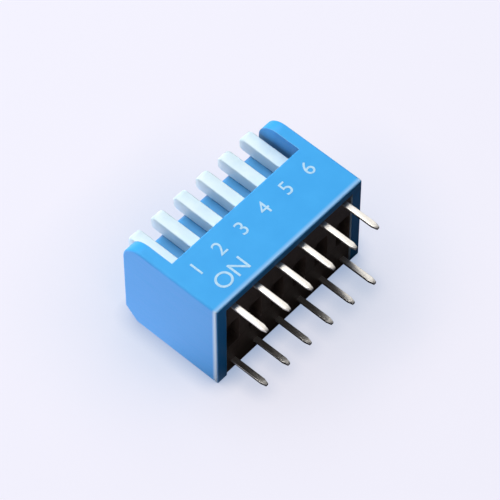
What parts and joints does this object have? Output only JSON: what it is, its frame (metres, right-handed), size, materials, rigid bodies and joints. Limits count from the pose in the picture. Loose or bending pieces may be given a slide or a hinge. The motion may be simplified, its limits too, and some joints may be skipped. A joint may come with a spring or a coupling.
{
  "type": "dip switch",
  "caption": "Lever-type DIP switch: a moulded cover with a row of swinging key levers in an edge notch, over a base with two rows of straight board pins.",
  "frame": {"origin": "middle of the pin pattern, in the plane of the cover's pin-side rim", "axes": "+X along the row of levers, +Y from the pins to the levers, +Z out of the numbered face, with the switch lying on its rear wall as in the picture"},
  "size_m": [0.0166, 0.014, 0.0098],
  "materials": {
    "cover_blue": "satin moulded",
    "lever_white": "satin moulded",
    "base_black": "matt moulded",
    "terminal_tin": "tin plated",
    "clip_brass": "plated"
  },
  "bodies": {
    "housing": {"cover": "cover_blue", "base": "base_black", "front_terminal_1": "terminal_tin", "front_terminal_2": "terminal_tin", "front_terminal_3": "terminal_tin", "front_terminal_4": "terminal_tin", "front_terminal_5": "terminal_tin", "front_terminal_6": "terminal_tin", "rear_terminal_1": "terminal_tin", "rear_terminal_2": "terminal_tin", "rear_terminal_3": "terminal_tin", "rear_terminal_4": "terminal_tin", "rear_terminal_5": "terminal_tin", "rear_terminal_6": "terminal_tin"},
    "lever_1_body": {"lever_1": "lever_white", "contact_clip_1": "clip_brass"},
    "lever_2_body": {"lever_2": "lever_white", "contact_clip_2": "clip_brass"},
    "lever_3_body": {"lever_3": "lever_white", "contact_clip_3": "clip_brass"},
    "lever_4_body": {"lever_4": "lever_white", "contact_clip_4": "clip_brass"},
    "lever_5_body": {"lever_5": "lever_white", "contact_clip_5": "clip_brass"},
    "lever_6_body": {"lever_6": "lever_white", "contact_clip_6": "clip_brass"}
  },
  "joints": [
    {"name": "lever_1_swing", "type": "hinge", "parent": "housing", "child": "lever_1_body", "pos_m": [-0.00635, 0.0041, 0.00268], "axis": [1, 0, 0], "range_deg": [0, 15]},
    {"name": "lever_2_swing", "type": "hinge", "parent": "housing", "child": "lever_2_body", "pos_m": [-0.00381, 0.0041, 0.00268], "axis": [1, 0, 0], "range_deg": [0, 15]},
    {"name": "lever_3_swing", "type": "hinge", "parent": "housing", "child": "lever_3_body", "pos_m": [-0.00127, 0.0041, 0.00268], "axis": [1, 0, 0], "range_deg": [0, 15]},
    {"name": "lever_4_swing", "type": "hinge", "parent": "housing", "child": "lever_4_body", "pos_m": [0.00127, 0.0041, 0.00268], "axis": [1, 0, 0], "range_deg": [0, 15]},
    {"name": "lever_5_swing", "type": "hinge", "parent": "housing", "child": "lever_5_body", "pos_m": [0.00381, 0.0041, 0.00268], "axis": [1, 0, 0], "range_deg": [0, 15]},
    {"name": "lever_6_swing", "type": "hinge", "parent": "housing", "child": "lever_6_body", "pos_m": [0.00635, 0.0041, 0.00268], "axis": [1, 0, 0], "range_deg": [0, 15]}
  ]
}
